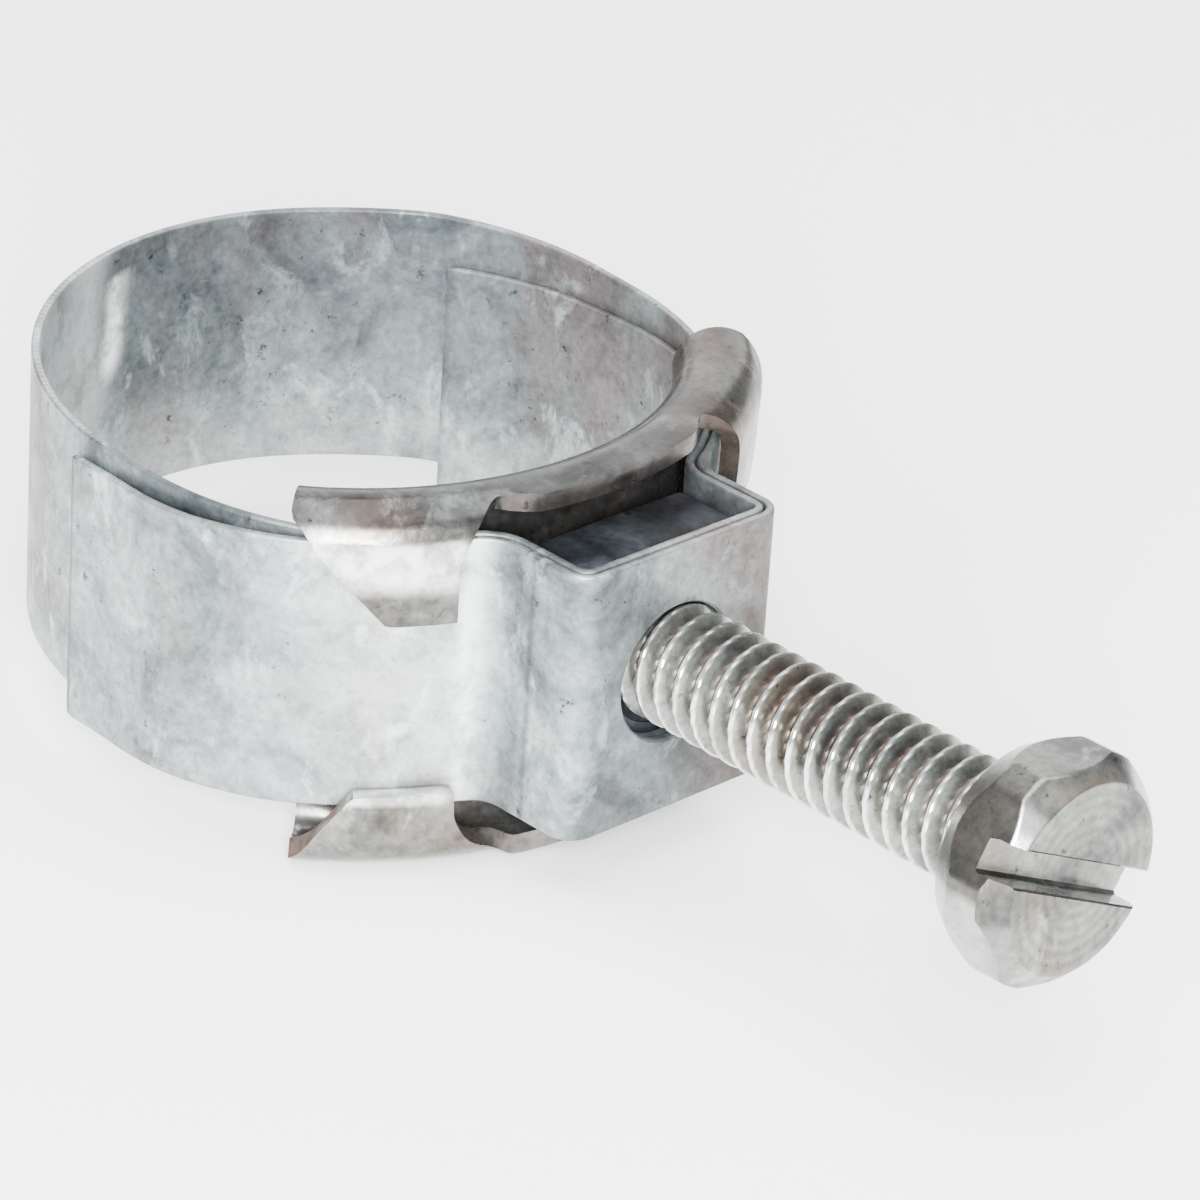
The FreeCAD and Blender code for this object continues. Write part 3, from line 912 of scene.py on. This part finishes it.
def slot_cutter(top):
    """A long bar with flared upper edges, turned with the head."""
    half = SLOT_WIDTH / 2
    flare = 0.1 * MM
    over = 0.6 * MM
    floor = 0.15 * MM
    outline = [
        (half + flare + over, -over), (half + flare, 0.0), (half, flare), (half, SLOT_DEPTH - floor),
        (half - floor, SLOT_DEPTH),
    ]
    outline = outline + [(-u, v) for u, v in reversed(outline)]
    length = HEAD_FLATS
    vertices = [(x, top + v, u) for x in (-length, length) for u, v in outline]
    count = len(outline)
    faces = [tuple(range(count)), tuple(reversed(range(count, 2 * count)))]
    for k in range(count):
        a, b = k, (k + 1) % count
        faces.append((b, a, a + count, b + count))
    mesh = bpy.data.meshes.new("slot_cutter")
    mesh.from_pydata(vertices, [], faces)
    turn = Matrix.Rotation(math.radians(-SLOT_TURN), 4, "Y")
    mesh.transform(Matrix.Translation((0, 0, SCREW_HEIGHT)) @ turn)
    cutter = bpy.data.objects.new("slot_cutter", mesh)
    bpy.context.scene.collection.objects.link(cutter)
    return cutter


# ======================= the nut =======================

def make_nut():
    """Square nut with chamfered corners and a threaded hole."""
    sides = 128
    front, back = nut_low.y, nut_high.y
    half = nut_high.x
    turns = [2 * math.pi * i / sides for i in range(sides)]

    def square(turn, size):
        off = (turn + math.pi / 4) % (math.pi / 2) - math.pi / 4
        return min(size / math.cos(off), size * math.sqrt(2) - 0.36 * MM)

    outline = [square(t, half) for t in turns]
    face = half - 0.15 * MM
    rings = []

    def add(radii, y, slope=0.0, sink=0.0):
        rings.append([(r, y + slope * max(r - face, 0.0) + sink) for r in radii])

    slope = math.tan(math.radians(25))
    mouth = MAJOR + 0.35 * MM
    bore_major = MAJOR + 0.12 * MM
    bore_minor = MINOR + 0.12 * MM
    step = PITCH / 12
    count = int((back - front) / step)
    for i in range(count + 1):
        y = front + (back - front) * i / count
        mouth_fade = smooth_step(y - front, 0, 0.7 * MM) * smooth_step(back - y, 0, 0.7 * MM)
        ring = []
        for turn in turns:
            phase = (y / PITCH + turn / (2 * math.pi)) % 1.0
            crest = 1 - smooth_step(abs(phase - 0.5) * 2, 0.12, 0.86)
            radius = bore_minor + (bore_major - bore_minor) * crest
            ring.append((radius * mouth_fade + mouth * (1 - mouth_fade), y))
        rings.append(ring)
    add([min(r, face) for r in outline], back)
    add([r - 0.08 * MM for r in outline], back, -0.02, -0.02 * MM)
    add(outline, back, -0.02, -0.12 * MM)
    add(outline, front, slope, 0.22 * MM)
    add([r - 0.1 * MM for r in outline], front, slope, 0.1 * MM)
    add([min(r, face) - 0.15 * MM for r in outline], front)
    vertices = []
    for ring in rings:
        for (radius, y), turn in zip(ring, turns):
            vertices.append((radius * math.cos(turn), y, SCREW_HEIGHT + radius * math.sin(turn)))
    faces = []
    total = len(rings)
    for r in range(total):
        for i in range(sides):
            a = r * sides + i
            b = r * sides + (i + 1) % sides
            c = ((r + 1) % total) * sides + i
            d = ((r + 1) % total) * sides + (i + 1) % sides
            faces.append((a, b, d, c))
    nut = new_piece("square_nut", vertices, faces, ["nut"], nut_zinc, SCREW_CREASE)
    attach(nut, "nut_body")
    return nut


# ======================= the room =======================

def make_floor(height):
    size = 3.0
    mesh = bpy.data.meshes.new("floor")
    corners = [(-size, -size), (size, -size), (size, size), (-size, size)]
    mesh.from_pydata([(x, y, height) for x, y in corners], [], [(0, 1, 2, 3)])
    floor = bpy.data.objects.new("floor", mesh)
    bpy.context.scene.collection.objects.link(floor)
    material = bpy.data.materials.new("floor_paper")
    material.use_nodes = True
    shader = material.node_tree.nodes["Principled BSDF"]
    shader.inputs["Base Color"].default_value = (0.93, 0.93, 0.93, 1)
    shader.inputs["Roughness"].default_value = 0.9
    mesh.materials.append(material)


def make_light(name, azimuth, elevation, distance, size, power, target=(0, -0.012, 0)):
    """A soft square light; azimuth as a compass angle from -Y towards +X."""
    data = bpy.data.lights.new(name, "AREA")
    data.shape = "RECTANGLE"
    data.size = size[0]
    data.size_y = size[1]
    data.energy = power
    light = bpy.data.objects.new(name, data)
    a, e = math.radians(azimuth), math.radians(elevation)
    direction = Vector((math.sin(a) * math.cos(e), -math.cos(a) * math.cos(e), math.sin(e)))
    light.location = Vector(target) + direction * distance
    light.rotation_euler = direction.to_track_quat("Z", "Y").to_euler()
    bpy.context.scene.collection.objects.link(light)


def make_room():
    make_floor(cad_low.z - 0.02 * MM)
    make_light("key", -42, 22, 0.45, (0.14, 0.24), 11)
    make_light("left_window", -75, 24, 0.5, (0.1, 0.3), 3)
    make_light("back_window", 138, 30, 0.8, (1.0, 0.6), 5)
    make_light("top", 0, 85, 0.8, (1.0, 1.0), 22)
    world = bpy.data.worlds.new("studio")
    world.use_nodes = True
    background = world.node_tree.nodes["Background"]
    background.inputs["Color"].default_value = (1.0, 1.0, 1.0, 1)
    background.inputs["Strength"].default_value = 0.6
    bpy.context.scene.world = world


def make_camera():
    """A long lens from the left of the screw's head, a little above, slightly rolled."""
    azimuth, elevation, roll = (math.radians(v) for v in (-45.221, 26.910, 3.827))
    distance = 304.78 * MM
    right_shift, up_shift = 12.647 * MM, -5.009 * MM
    back = Vector((math.sin(azimuth) * math.cos(elevation), -math.cos(azimuth) * math.cos(elevation),
                   math.sin(elevation)))
    right = Vector((math.cos(azimuth), math.sin(azimuth), 0))
    up = back.cross(right)
    rolled_right = right * math.cos(roll) + up * math.sin(roll)
    rolled_up = up * math.cos(roll) - right * math.sin(roll)
    data = bpy.data.cameras.new("camera")
    data.lens = 180
    data.sensor_width = 36
    data.clip_start = 0.01
    camera = bpy.data.objects.new("camera", data)
    axes = Matrix((rolled_right, rolled_up, back)).transposed().to_4x4()
    place = back * distance + rolled_right * right_shift + rolled_up * up_shift
    camera.matrix_world = Matrix.Translation(place) @ axes
    bpy.context.scene.collection.objects.link(camera)
    bpy.context.scene.camera = camera


make_band()
make_bridge()
make_screw()
make_nut()
make_room()
make_camera()

bpy.context.view_layer.update()
